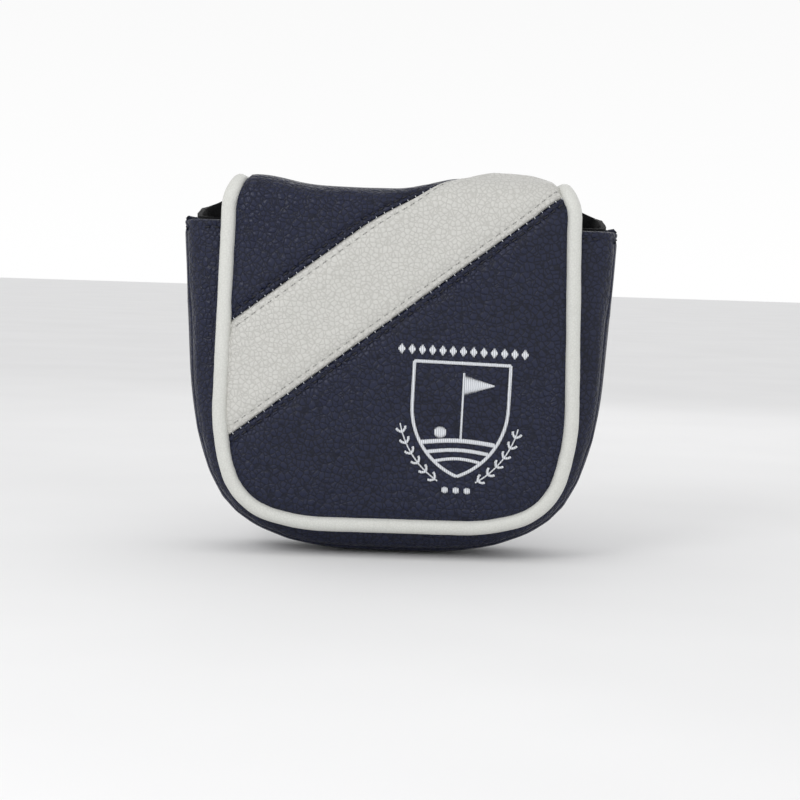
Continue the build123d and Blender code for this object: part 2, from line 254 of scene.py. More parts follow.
# %% Leather
def leather(name, dark, light, rough, gloss_level, grain, depth):
    """Pebbled leather. grain is the size of a pebble and depth its height, in mm."""
    material, tree, shader, place = new_material(name)
    warp = node(tree, "ShaderNodeTexNoise", [("Vector", place)], Scale=420, Detail=2)
    offset = node(tree, "ShaderNodeVectorMath", [(0, warp.outputs["Color"])], operation="SCALE")
    offset.inputs["Scale"].default_value = 1.1 * MM
    bent = node(
        tree, "ShaderNodeVectorMath", [(0, place), (1, offset.outputs[0])], operation="ADD"
    )
    spot = bent.outputs[0]
    big = node(
        tree, "ShaderNodeTexVoronoi", [("Vector", spot)],
        feature="SMOOTH_F1", Scale=1 / (grain * MM), Smoothness=0.35,
    )
    small = node(
        tree, "ShaderNodeTexVoronoi", [("Vector", spot)],
        feature="SMOOTH_F1", Scale=2.3 / (grain * MM), Smoothness=0.4,
    )
    valley = node(
        tree, "ShaderNodeTexVoronoi", [("Vector", spot)],
        feature="DISTANCE_TO_EDGE", Scale=1 / (grain * MM),
    )
    slow = node(tree, "ShaderNodeTexNoise", [("Vector", place)], Scale=38, Detail=3)
    dome = maths(tree, "MULTIPLY", big.outputs["Distance"], -1.0)
    fine = maths(tree, "MULTIPLY", small.outputs["Distance"], -0.38)
    crease = maths(tree, "MINIMUM", valley.outputs["Distance"], 0.16)
    crease = maths(tree, "MULTIPLY", crease, 2.6)
    height = maths(tree, "ADD", dome, fine)
    height = maths(tree, "ADD", height, crease)
    amount = node(
        tree, "ShaderNodeMapRange", [("Value", slow.outputs["Fac"])],
        From_Min=0.35, From_Max=0.65, To_Min=0.45, To_Max=1.0,
    ).outputs["Result"]
    height = maths(tree, "MULTIPLY", height, amount)
    # Colour: the grain's valleys are painted darker, as shade in the creases, and the slow noise
    # changes the tone at random.
    tone = maths(tree, "MULTIPLY", crease, 1.5)
    tone = maths(tree, "ADD", tone, maths(tree, "MULTIPLY", slow.outputs["Fac"], 0.45))
    colour = ramp(tree, tone, ((0.15, dark), (0.85, light)))
    finish_surface(tree, shader, colour, height, 1.0, depth, rough)
    gloss = node(
        tree, "ShaderNodeMapRange", [("Value", slow.outputs["Fac"])],
        From_Min=0.3, From_Max=0.7, To_Min=rough + 0.06, To_Max=rough - 0.06,
    ).outputs["Result"]
    tree.links.new(gloss, shader.inputs["Roughness"])
    shader.inputs["Specular IOR Level"].default_value = gloss_level
    return material


# The first colour of each leather is reached in its grain's valleys, darkened there as painted shade;
# the second is the pebbles' colour.
NAVY = leather(
    "navy_leather", (0.0020, 0.0030, 0.010), (0.0125, 0.0160, 0.041), 0.38, 0.27, 1.65, 0.36
)
WHITE = leather(
    "white_leather", (0.475, 0.470, 0.440), (0.60, 0.595, 0.565), 0.5, 0.35, 1.4, 0.20
)
PIPING = leather(
    "piping_leather", (0.59, 0.595, 0.56), (0.67, 0.675, 0.64), 0.46, 0.35, 0.8, 0.04
)
print("leathers made")

# %% [markdown]
# Fleece is a felt of short black fibres: almost no gloss, a faint sheen at grazing
# angles, a fine, tangled bump, and painted shade where its pile is low. Thread is two
# plies twisted together, so it carries fine slanted bands, in its bump and as painted
# shade in its colour. Foam is pale grey with small open cells, whose hollows carry
# painted shade, and the magnets are nickel.

# %% Fleece, thread, foam and metal
def fleece():
    """Black short-pile fleece."""
    material, tree, shader, place = new_material("black_fleece")
    curl = node(
        tree, "ShaderNodeTexNoise", [("Vector", place)], Scale=1500, Detail=6, Roughness=0.7
    )
    patch = node(tree, "ShaderNodeTexNoise", [("Vector", place)], Scale=240, Detail=3)
    both = maths(tree, "ADD", curl.outputs["Fac"], patch.outputs["Fac"])
    # Where the pile is low the colour is darker: painted shade.
    tone = maths(tree, "MULTIPLY", both, 0.5)
    colour = ramp(tree, tone, ((0.3, (0.002, 0.002, 0.0025)), (0.7, (0.011, 0.0115, 0.013))))
    finish_surface(tree, shader, colour, both, 1.0, 0.35, 0.95)
    shader.inputs["Sheen Weight"].default_value = 0.08
    shader.inputs["Sheen Roughness"].default_value = 0.6
    shader.inputs["Specular IOR Level"].default_value = 0.15
    return material


def thread(name, dark, light, rough, ply):
    """Twisted thread. ply is the length of one twist, in mm."""
    material, tree, shader, place = new_material(name)
    twist = node(
        tree, "ShaderNodeTexWave", [("Vector", place)],
        Scale=1 / (ply * MM * 2 * math.pi), Distortion=2.0, Detail=1,
    )
    # The dark bands of the colour are painted shade in the grooves between the plies.
    colour = ramp(tree, twist.outputs["Fac"], ((0.2, dark), (0.8, light)))
    finish_surface(tree, shader, colour, twist.outputs["Fac"], 0.8, 0.05, rough)
    return material


def foam():
    """Pale grey sheet padding with open cells."""
    material, tree, shader, place = new_material("padding")
    cells = node(tree, "ShaderNodeTexVoronoi", [("Vector", place)], Scale=1600)
    # The hollows of the open cells are painted darker, as shade.
    tone = cells.outputs["Distance"]
    colour = ramp(tree, tone, ((0.0, (0.12, 0.12, 0.12)), (0.6, (0.36, 0.36, 0.35))))
    finish_surface(tree, shader, colour, tone, 0.7, 0.2, 0.9)
    return material


def nickel():
    """Plated disc, with fine noise marks in its colour."""
    material, tree, shader, place = new_material("nickel")
    marks = node(tree, "ShaderNodeTexNoise", [("Vector", place)], Scale=900, Detail=4)
    tone = marks.outputs["Fac"]
    colour = ramp(tree, tone, ((0.3, (0.50, 0.51, 0.52)), (0.7, (0.62, 0.62, 0.62))))
    tree.links.new(colour, shader.inputs["Base Color"])
    shader.inputs["Metallic"].default_value = 1.0
    shader.inputs["Roughness"].default_value = 0.32
    return material


FLEECE = fleece()
DARK_THREAD = thread("dark_thread", (0.001, 0.001, 0.004), (0.004, 0.005, 0.014), 0.55, 0.35)
# The stripe's thread is white; its grey colour here is painted shade.
WHITE_THREAD_SHADED = thread("white_thread_painted_shade", (0.20, 0.20, 0.19), (0.42, 0.42, 0.40), 0.6, 0.35)
BADGE_THREAD = thread("badge_thread", (0.52, 0.54, 0.58), (0.82, 0.84, 0.87), 0.35, 0.3)
FOAM = foam()
NICKEL = nickel()

# %% [markdown]
# The outline of a sewn piece is a chain of straight runs and tangent arcs, the way a
# pattern cutter draws it with a ruler and a compass. A single vertex is enough to start:
# extruding it draws a straight run, and spinning it about a centre draws an arc. Half of
# the outline is drawn and mirrored.

# %% Drawing an outline
STEP = 1.2
FLAP_FLAT = 20.0
FLAP_ROUTE = ((60.0, 17.0), (21.5, 56.0), (70.0, 18.4), 97.5, (100.0, -1.4))
POUCH_FLAT = 12.0
POUCH_ROUTE = ((72.0, 23.0), (31.0, 45.0), (95.0, 18.5))


def half_outline(bm, low, flat, route, top, inset):
    """Right half of an outline in the XZ plane, from the middle of its base to its top."""
    vert = bm.verts.new((0, 0, low + inset))

    def run(start, move):
        made = bmesh.ops.extrude_vert_indiv(bm, verts=[start])["verts"][0]
        made.co += move
        return made

    vert = run(vert, Vector((flat, 0, 0)))
    heading = 0.0
    for piece in (*route, top):
        if isinstance(piece, float):
            rise = piece - vert.co.z
            vert = run(vert, Vector((rise / math.tan(heading), 0, rise)))
            continue
        radius, degrees = piece
        bend = math.radians(degrees)
        radius -= math.copysign(inset, bend)
        normal = Vector((-math.sin(heading), 0, math.cos(heading)))
        centre = vert.co + normal * math.copysign(radius, bend)
        steps = max(2, round(radius * abs(bend) / STEP))
        arc = bmesh.ops.spin(
            bm, geom=[vert], cent=centre, axis=(0, -1, 0), angle=bend, steps=steps
        )
        vert = arc["geom_last"][0]
        heading += bend
    return vert


def outline_face(low, flat, route, top, inset):
    """Bmesh with the whole outline as one face."""
    bm = bmesh.new()
    end = half_outline(bm, low, flat, route, top, inset)
    height = end.co.z
    bmesh.ops.mirror(bm, geom=bm.verts[:] + bm.edges[:], axis="X", merge_dist=0.01)
    ends = [v for v in bm.verts if v.co.z > height - 0.01 and len(v.link_edges) == 1]
    bm.edges.new(ends)
    bmesh.ops.contextual_create(bm, geom=bm.edges[:])
    return bm


def finish_mesh(bm, name, material):
    """Turns a bmesh in millimetres into an object in metres with one material."""
    bmesh.ops.scale(bm, verts=bm.verts[:], vec=(MM, MM, MM))
    mesh = bpy.data.meshes.new(name)
    bm.to_mesh(mesh)
    bm.free()
    mesh.polygons.foreach_set("use_smooth", [True] * len(mesh.polygons))
    made = bpy.data.objects.new(name, mesh)
    bpy.context.scene.collection.objects.link(made)
    mesh.materials.append(material)
    return made


def applied(piece):
    """Mesh of a piece with its modifiers applied."""
    bpy.context.view_layer.update()
    graph = bpy.context.evaluated_depsgraph_get()
    return bpy.data.meshes.new_from_object(piece.evaluated_get(graph))


def in_mm(mesh):
    """Bmesh in millimetres of a mesh in metres."""
    bm = bmesh.new()
    bm.from_mesh(mesh)
    bmesh.ops.scale(bm, verts=bm.verts[:], vec=(1 / MM, 1 / MM, 1 / MM))
    return bm


# %% [markdown]
# The flap is cut flat and then folded. Its blank is drawn here as one flat face, with
# height on the blank running up the front, over the fold, along the top and down to the
# foot at the back. Folding is then a rule from blank to cover: a point on the blank goes
# to its place on the section, pushed out along the normal by its height above the skin.

# %% Folding rule
QUARTER = FOLD_R * math.pi / 2
FRONT_ARC_Y = FOLD_R - FLAP_FACE
BACK_ARC_Y = BACK_Y - FOLD_R
FLAT_TOP = BACK_ARC_Y - FRONT_ARC_Y
FOOT = HINGE_Z + 2 * QUARTER + FLAT_TOP
SAG = 3.6
REAR_LIFT = 1.7
NARROWING = 0.055
STRIPE_ANGLE = math.radians(37.3)
STRIPE_WIDTH = 27.4
STRIPE_LOW = 73.5
ALONG_STRIPE = Vector((math.cos(STRIPE_ANGLE), math.sin(STRIPE_ANGLE)))
ACROSS_STRIPE = Vector((-math.sin(STRIPE_ANGLE), math.cos(STRIPE_ANGLE)))


def smooth(value, low, high):
    """Smooth step from 0 at low to 1 at high."""
    share = min(1.0, max(0.0, (value - low) / (high - low)))
    return share * share * (3 - 2 * share)


def from_seam(x, along):
    """Distance from the stripe's lower seam, measured across the stripe on the blank."""
    return ACROSS_STRIPE.dot(Vector((x, along - STRIPE_LOW)))


def saddle(x, along):
    """How far the top sags left of its middle, less how far the stripe's rear is up."""
    across = smooth(x, -46, -24) * (1 - smooth(x, 0, 18))
    front = smooth(along, HINGE_Z - 8, HINGE_Z + QUARTER)
    rear = 1 - smooth(along, FOOT - QUARTER, FOOT)
    crest = smooth(along, HINGE_Z + QUARTER - 2, HINGE_Z + QUARTER + 5)
    raised = smooth(STRIPE_WIDTH - from_seam(x, along), 0, 4) * (1 - smooth(x, 38, 50))
    return (SAG * across * front - REAR_LIFT * raised * crest) * rear


def fold(x, along, height):
    """Place on the cover of a point on the blank, height out from the flap's face."""
    over = smooth(along, HINGE_Z - 3, HINGE_Z + QUARTER)
    x *= 1 - NARROWING * over * (1 - smooth(along, FOOT - QUARTER, FOOT))
    if along <= HINGE_Z:
        place = Vector((x, -FLAP_FACE - height, along))
    elif along <= HINGE_Z + QUARTER:
        angle = (along - HINGE_Z) / FOLD_R
        reach = FOLD_R + height
        y = FRONT_ARC_Y - reach * math.cos(angle)
        place = Vector((x, y, HINGE_Z + reach * math.sin(angle)))
    elif along <= HINGE_Z + QUARTER + FLAT_TOP:
        place = Vector((x, FRONT_ARC_Y + along - HINGE_Z - QUARTER, TOP_Z + height))
    elif along <= FOOT:
        angle = (along - HINGE_Z - QUARTER - FLAT_TOP) / FOLD_R
        reach = FOLD_R + height
        y = BACK_ARC_Y + reach * math.sin(angle)
        place = Vector((x, y, HINGE_Z + reach * math.cos(angle)))
    else:
        place = Vector((x, BACK_Y + height, HINGE_Z - (along - FOOT)))
    place.z -= saddle(x, along)
    return place


# %% [markdown]
# The stripe crosses the blank at a slant, and its two seams are straight on the blank.
# Each seam is a narrow valley, because both leathers turn under there. Beside it lies a
# strip held down by a row of stitches, so it stands a little proud, and the row itself
# sits in a shallow groove. Along the piping the skin dives towards the edge seam. Between
# the seams the padding lifts the leather in soft, uneven swells.

# %% Relief of the flap's skin
ROW_OUTSIDE = -1.9
ROW_INSIDE = 2.1
EDGE_SEAM = 3.4
SEAM_DEPTH = 1.0
OUTER_ROW_DEPTH = 0.75
INNER_ROW_DEPTH = 0.34
PADDING_RISE = 0.7
BADGE_PRESS = 0.30
EDGE_DIVE = 2.1


def bell(distance, width):
    """Rounded bump of height 1 at distance 0."""
    return math.exp(-((distance / width) ** 2))


def edge_tree(bm):
    """Tree of the outline's vertices and points between them, for distances to the edge."""
    rim = [e for e in bm.edges if e.is_boundary]
    points = []
    for e in rim:
        a, b = e.verts[0].co, e.verts[1].co
        count = max(1, int((b - a).length / 0.6))
        points += [a.lerp(b, step / count) for step in range(count)]
    tree = kdtree.KDTree(len(points))
    for index, point in enumerate(points):
        tree.insert(point, index)
    tree.balance()
    return tree


badge_low, badge_high = box_mm("badge")
BADGE_MIDDLE = Vector((badge_low.x + badge_high.x, badge_low.z + badge_high.z)) / 2
BADGE_HALF = Vector((21.0, 24.0))


def badge_pull(x, along):
    """1 under the embroidery, falling to 0 outside it."""
    offset = Vector((x, along)) - BADGE_MIDDLE
    reach = math.hypot(offset.x / BADGE_HALF.x, offset.y / BADGE_HALF.y)
    return 1 - smooth(reach, 0.85, 1.15)


def swell(x, along):
    """Soft unevenness of the padding, in mm."""
    wide = noise.noise(Vector((x / 21, along / 21, 3.1)))
    close = noise.noise(Vector((x / 7.5, along / 7.5, 8.7)))
    return 0.42 * wide + 0.13 * close


def relief(x, along, edge):
    """Height of the flap's skin over the flap's face, in mm."""
    seam = from_seam(x, along)
    height = PADDING_RISE * smooth(edge, 1.5, 14) + swell(x, along) * smooth(edge, 1, 8)
    for join, side in ((0.0, 1), (STRIPE_WIDTH, -1)):
        off = (seam - join) * side
        height -= SEAM_DEPTH * bell(off, 0.5)
        height -= INNER_ROW_DEPTH * bell(off - ROW_INSIDE, 0.55)
        height -= OUTER_ROW_DEPTH * bell(off - ROW_OUTSIDE, 0.65)
        height -= 0.30 * bell(off, 3.4)
        height += 0.26 * bell(abs(off) - 5.2, 2.2)
        tug = math.sin(seam * 1.2 + x * 0.9 + along * 0.75) * bell(abs(off) - 3.6, 1.6)
        height += 0.07 * tug
    pull = badge_pull(x, along)
    height -= BADGE_PRESS * pull
    height += 0.28 * pull * (1 - pull) * 4 * (0.5 + noise.noise(Vector((x / 4, along / 4, 1))))
    height -= EDGE_DIVE * bell(edge, 1.7)
    return height


# %% [markdown]
# The blank starts as one face. Cutting it with planes gives it a grid to bend on, with
# rows close together beside the seams where the relief is sharp. Each leather panel is
# then the part of the blank between two seams, folded, and given its thickness.

# %% The flap's skin
GRID = 1.7
GRID_HALF_WIDTH = 56.0
SEAM_ROWS = (-2.9, ROW_OUTSIDE, -1.1, -0.55, 0.0, 0.55, 1.1, ROW_INSIDE, 3.1)


def cut(bm, spot, normal):
    """Cuts every face that the plane crosses."""
    geometry = bm.verts[:] + bm.edges[:] + bm.faces[:]
    bmesh.ops.bisect_plane(bm, geom=geometry, dist=0.03, plane_co=spot, plane_no=normal)


def cut_blank(inset, grid, seams):
    """The flap's blank, moved in by inset, cut into a grid."""
    bm = outline_face(FLAP_LOW_Z, FLAP_FLAT, FLAP_ROUTE, FOOT, inset)
    slant = Vector((ACROSS_STRIPE.x, 0, ACROSS_STRIPE.y))
    if seams:
        for join in (0.0, STRIPE_WIDTH):
            for off in SEAM_ROWS:
                side = 1 if join == 0.0 else -1
                cut(bm, Vector((0, 0, STRIPE_LOW)) + slant * (join + off * side), slant)
    lines = int(GRID_HALF_WIDTH / grid)
    for index in range(-lines, lines + 1):
        cut(bm, Vector((index * grid, 0, 0)), Vector((1, 0, 0)))
    for index in range(int((FOOT - FLAP_LOW_Z) / grid) + 1):
        cut(bm, Vector((0, 0, FLAP_LOW_Z + 0.37 + index * grid)), Vector((0, 0, 1)))
    return bm


def fold_blank(bm, shape, edges):
    """Folds a blank. shape gives the height at (x, along, distance to the edge)."""
    for vert in bm.verts:
        x, along = vert.co.x, vert.co.z
        near = edges.find(vert.co)[2]
        vert.co = fold(x, along, shape(x, along, near))
    bmesh.ops.recalc_face_normals(bm, faces=bm.faces[:])


def add_thickness(piece, thickness):
    """Solidify inwards, so that the sheet becomes a closed solid."""
    wall = piece.modifiers.new("thickness", "SOLIDIFY")
    wall.thickness = thickness * MM
    wall.offset = -1
    wall.use_even_offset = False
    return piece


def hang(piece, slot_name, *nodes):
    """The piece is baked in place and stands for the CAD nodes, which it hides."""
    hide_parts(*nodes)
    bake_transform(piece)
    return piece


blank = cut_blank(EDGE_SEAM, GRID, seams=True)
print("flap blank:", len(blank.faces), "faces")
panels = (
    ("flap_skin_lower", -500.0, 0.0, NAVY, "navy_leather", ("flap_lower_panel",)),
    ("flap_skin_stripe", 0.0, STRIPE_WIDTH, WHITE, "white_leather", ("flap_stripe", "top_stripe")),
    ("flap_skin_upper", STRIPE_WIDTH, 500.0, NAVY, "navy_leather", ("flap_upper_panel", "top_panel")),
)
edges_of_blank = edge_tree(blank)
for name, low, high, material, slot_name, nodes in panels:
    panel = blank.copy()
    outside = []
    for face in panel.faces:
        middle = face.calc_center_median()
        if not low < from_seam(middle.x, middle.z) < high:
            outside.append(face)
    bmesh.ops.delete(panel, geom=outside, context="FACES")
    fold_blank(panel, relief, edges_of_blank)
    if sum(face.normal.y for face in panel.faces) > 0:
        bmesh.ops.reverse_faces(panel, faces=panel.faces[:])
    piece = finish_mesh(panel, name, material)
    add_thickness(piece, 1.1)
    hang(piece, slot_name, *nodes)
    print(name, len(piece.data.polygons), "faces")
blank.free()

# %% [markdown]
# Under the skin lie the padding and the fleece. Both are the same blank again, deeper in
# the sandwich and with a coarser grid. The fleece gets a tangle of tiny bumps, because a
# smooth black sheet doesn't look like fleece at its edge.

# %% The flap's padding and lining
LINING_DEPTH = 3.4


def pad_height(x, along, edge):
    """Outer face of the flap's padding."""
    return -1.9 - 0.6 * bell(edge, 2)


def lining_height(x, along, edge):
    """Outer face of the flap's fleece, with its pile."""
    pile = noise.noise(Vector((x / 1.1, along / 1.1, 0))) * 0.14
    return -LINING_DEPTH + pile


padding = cut_blank(EDGE_SEAM + 1.6, 4.0, seams=False)
fold_blank(padding, pad_height, edge_tree(padding))
piece = finish_mesh(padding, "flap_padding", FOAM)
add_thickness(piece, 1.2)
hang(piece, "foam", "flap_foam", "top_foam")

fleece_sheet = cut_blank(3.1, 1.5, seams=False)
fold_blank(fleece_sheet, lining_height, edge_tree(fleece_sheet))
piece = finish_mesh(fleece_sheet, "flap_fleece", FLEECE)
add_thickness(piece, 1.25)
hang(piece, "fleece_lining", "flap_lining", "top_lining")
print("flap lining", len(piece.data.polygons), "faces")

# %% [markdown]
# Piping is a strip of leather wrapped round a cord and caught in the edge seam. A curve
# along the edge with a round bevel gives the sleeve, and a second one the cord in it. The
# outline's own vertices, walked in order and folded, are the points of the curve.

# %% Piping
PIPE_R = 2.3
PIPE_DEPTH = -2.35
CORD_R = 1.3


def walk(bm):
    """Vertex places of an open chain, from its left end to its right end."""
    ends = [v for v in bm.verts if len(v.link_edges) == 1]
    vert = min(ends, key=lambda v: v.co.x)
    seen, places = None, []
    while vert is not None:
        places.append(vert.co.copy())
        nexts = [e for e in vert.link_edges if e is not seen]
        seen = nexts[0] if nexts else None
        vert = seen.other_vert(vert) if seen else None
    return places


def edge_line(inset, top):
    """Points along the flap's edge on the blank, about every 1.5 mm."""
    bm = bmesh.new()
    half_outline(bm, FLAP_LOW_Z, FLAP_FLAT, FLAP_ROUTE, top, inset)
    bmesh.ops.mirror(bm, geom=bm.verts[:] + bm.edges[:], axis="X", merge_dist=0.01)
    long_edges = [e for e in bm.edges if e.calc_length() > 2.5]
    while long_edges:
        bmesh.ops.subdivide_edges(bm, edges=long_edges, cuts=1)
        long_edges = [e for e in bm.edges if e.calc_length() > 2.5]
    places = walk(bm)
    bm.free()
    return places


def tube(name, points, radius, sides):
    """Round tube along points, with closed ends, as a bmesh in mm."""
    curve = bpy.data.curves.new(name, "CURVE")
    curve.dimensions = "3D"
    curve.bevel_depth = radius * MM
    curve.bevel_resolution = sides
    curve.use_fill_caps = True
    line = curve.splines.new("POLY")
    line.points.add(len(points) - 1)
    for place, point in zip(points, line.points):
        point.co = (*(place * MM), 1)
    holder = bpy.data.objects.new(name, curve)
    bpy.context.scene.collection.objects.link(holder)
    bm = in_mm(applied(holder))
    bpy.data.objects.remove(holder)
    bmesh.ops.remove_doubles(bm, verts=bm.verts[:], dist=0.001)
    bmesh.ops.recalc_face_normals(bm, faces=bm.faces[:])
    return bm


edge_points = edge_line(PIPE_R, FOOT + 1.5)
folded = [fold(place.x, place.z, PIPE_DEPTH) for place in edge_points]
sleeve = tube("sleeve", folded, PIPE_R, 5)
for vert in sleeve.verts:
    wrinkle = noise.noise(vert.co / 2.6) * 0.07 + noise.noise(vert.co / 9) * 0.10
    vert.co += vert.normal * wrinkle
piece = finish_mesh(sleeve, "flap_piping_sleeve", PIPING)
hang(piece, "white_piping", "flap_piping", "top_piping")
print("piping", round(sum((b - a).length for a, b in zip(folded, folded[1:]))), "mm long")
cord_line = tube("core", folded, CORD_R, 2)
piece = finish_mesh(cord_line, "flap_piping_core", FOAM)
hang(piece, "piping_cord", "flap_piping_cord", "top_piping_cord")

# %% [markdown]
# The pouch is a boxed bag: a front and a back joined by a gusset. One closed block has
# the outline of the front and the depth of the gusset, with its long rims rounded by a
# bevel. Padded fabric gets its shape from pressure, so the block is remeshed evenly, and
# cloth simulation blows it up a little while its seams and its mouth are held.

# %% Block of the pouch
POUCH_EDGE_R = 8.0
BLOCK_TOP = 114.0


def pouch_block(inset):
    """Closed rounded block of the pouch, with its surface moved in by inset."""
    bm = outline_face(0.0, POUCH_FLAT, POUCH_ROUTE, BLOCK_TOP, inset)
    depth = BACK_Y - inset
    bmesh.ops.translate(bm, verts=bm.verts[:], vec=(0, -depth, 0))
    grown = bmesh.ops.extrude_face_region(bm, geom=bm.faces[:])["geom"]
    new_verts = [item for item in grown if isinstance(item, bmesh.types.BMVert)]
    bmesh.ops.translate(bm, verts=new_verts, vec=(0, 2 * depth, 0))
    bmesh.ops.recalc_face_normals(bm, faces=bm.faces[:])
    rims = []
    for edge in bm.edges:
        first, second = (vert.co for vert in edge.verts)
        level = abs(first.y - second.y) < 0.01
        if level and min(first.z, second.z) < BLOCK_TOP - 0.1:
            rims.append(edge)
    bmesh.ops.bevel(
        bm, geom=rims, offset=POUCH_EDGE_R - inset, offset_type="OFFSET",
        segments=6, profile=0.5, affect="EDGES", material=-1,
    )
    return bm


def evened(bm, name, voxel):
    """Object with an even voxel mesh of a closed block."""
    rough = finish_mesh(bm, name, FOAM)
    remesh = rough.modifiers.new("even", "REMESH")
    remesh.mode = "VOXEL"
    remesh.voxel_size = voxel * MM
    mesh = applied(rough)
    rough.modifiers.clear()
    rough.data = mesh
    return rough


# %% [markdown]
# In the simulation the gusset seams and everything above the mouth are pinned. Gravity
# is off, and pressure pushes outwards. A cap on how far a point may move keeps the bag
# its own size, and where the flap lies on the front the bag stays flat against it.

# %% Blowing up the pouch
START_INSET = 0.7
SWELL_CAP = 1.7
FLAP_REST_Y = -(BACK_Y + 0.12)
LAST_FRAME = 20
PADDED_CLOTH = {
    "vertex_group_mass": "held", "use_pressure": True, "uniform_pressure_force": 4,
    "quality": 6, "mass": 0.3, "tension_stiffness": 20, "compression_stiffness": 20,
    "bending_stiffness": 1.5,
}


def pin_weight(place):
    """How firmly a point is held: seams and mouth hold, panels are free."""
    seam = bell(abs(place.y) - SEAM_Y, 1.8) * 0.9
    mouth = smooth(place.z, MOUTH_Z - 5, MOUTH_Z + 3)
    return min(1.0, max(seam, mouth))


def blow_up(piece):
    """Cloth simulation with pressure; returns the moved places in mm."""
    rest = [vert.co / MM for vert in piece.data.vertices]
    group = piece.vertex_groups.new(name="held")
    for index, place in enumerate(rest):
        group.add([index], pin_weight(place), "REPLACE")
    cloth = piece.modifiers.new("cloth", "CLOTH")
    for key, value in PADDED_CLOTH.items():
        setattr(cloth.settings, key, value)
    cloth.settings.effector_weights.gravity = 0
    cloth.collision_settings.use_collision = False
    cloth.point_cache.frame_start = 1
    cloth.point_cache.frame_end = LAST_FRAME
    scene = bpy.context.scene
    for number in range(1, LAST_FRAME + 1):
        scene.frame_set(number)
        graph = bpy.context.evaluated_depsgraph_get()
        piece.evaluated_get(graph)
    moved = piece.evaluated_get(graph).data
    blown = [vert.co / MM for vert in moved.vertices]
    piece.modifiers.clear()
    scene.frame_set(1)
    return rest, blown


bag = evened(pouch_block(START_INSET), "pouch_bag", 4.0)
rest, blown = blow_up(bag)
furthest = 0.0
for vert, before, after in zip(bag.data.vertices, rest, blown):
    move = after - before
    furthest = max(furthest, move.length)
    if move.length > SWELL_CAP:
        move *= SWELL_CAP / move.length
    place = before + move
    soft = 0.16 * noise.noise(before / 16)
    place += Vector((soft, 0.6 * soft, 0))
    vert.co = place * MM
print("bag:", len(rest), "vertices, furthest move", round(furthest, 2), "mm")

# %% [markdown]
# One subdivision smooths the bag. Cutting it along the gusset seams and the mouth gives
# the three leather pieces, and rows of cuts close to the seams let the leather dive into
# them. The front clamps flat where the flap lies on it.

# %% Cutting the bag into panels
def loops_of(piece):
    """Bmesh in mm of a piece after one subdivision."""
    fine = piece.modifiers.new("fine", "SUBSURF")
    fine.levels = 1
    fine.render_levels = 1
    bm = in_mm(applied(piece))
    piece.modifiers.clear()
    return bm


SHOULDER_X = 54.5
SHOULDER_SLOPE = Vector((5.3, 0, 12.5)).normalized()


def trim(bm, spot, normal):
    """Cuts with a plane and removes what lies on the side of its normal."""
    geometry = bm.verts[:] + bm.edges[:] + bm.faces[:]
    bmesh.ops.bisect_plane(
        bm, geom=geometry, dist=0.02, plane_co=spot, plane_no=normal, clear_outer=True
    )


def cut_mouth(bm, side, lift):
    """Trims a piece at the mouth: level at the front and sides, shouldered at the back."""
    if side != "back":
        trim(bm, Vector((0, 0, MOUTH_Z + lift)), Vector((0, 0, 1)))
        return
    trim(bm, Vector((0, 0, SHOULDER_Z + lift)), Vector((0, 0, 1)))
    for sign in (-1, 1):
        corner = Vector((sign * SHOULDER_X, 0, SHOULDER_Z + lift))
        trim(bm, corner, Vector((sign * SHOULDER_SLOPE.x, 0, SHOULDER_SLOPE.z)))


def side_of(face):
    """Which panel a face belongs to."""
    middle = face.calc_center_median()
    if middle.y < -SEAM_Y:
        return "front"
    return "back" if middle.y > SEAM_Y else "gusset"


def only(bm, side):
    """Copy of a bmesh with one panel's faces."""
    panel = bm.copy()
    extra = [face for face in panel.faces if side_of(face) != side]
    bmesh.ops.delete(panel, geom=extra, context="FACES")
    return panel


def mouth_rim(bm, lift):
    """Edges along the mouth: open edges that aren't on a gusset seam."""
    rim = []
    for edge in bm.edges:
        first, second = (vert.co for vert in edge.verts)
        on_seam = min(abs(abs(first.y) - SEAM_Y), abs(abs(second.y) - SEAM_Y)) < 0.05
        level = abs(first.z - second.z) < 3 and min(first.z, second.z) > MOUTH_Z + lift - 4
        if edge.is_boundary and level and not (on_seam and abs(first.y - second.y) < 0.02):
            rim.append(edge)
    return rim


def turn_in(bm, rim, profile):
    """Rolls an open edge inwards, through (inwards, upwards) steps in mm."""
    out = {}
    for edge in rim:
        for vert in edge.verts:
            out[vert] = Vector((vert.normal.x, vert.normal.y, 0)).normalized()
    bases = {vert: vert.co.copy() for vert in out}
    for inwards, upwards in profile:
        made = bmesh.ops.extrude_edge_only(bm, edges=rim)["geom"]
        rim = [item for item in made if isinstance(item, bmesh.types.BMEdge)]
        fresh = [item for item in made if isinstance(item, bmesh.types.BMVert)]
        next_out, next_bases = {}, {}
        for vert in fresh:
            old = next(e.other_vert(vert) for e in vert.link_edges if e.other_vert(vert) in out)
            next_out[vert], next_bases[vert] = out[old], bases[old]
            vert.co = bases[old] - out[old] * inwards + Vector((0, 0, upwards))
        out, bases = next_out, next_bases


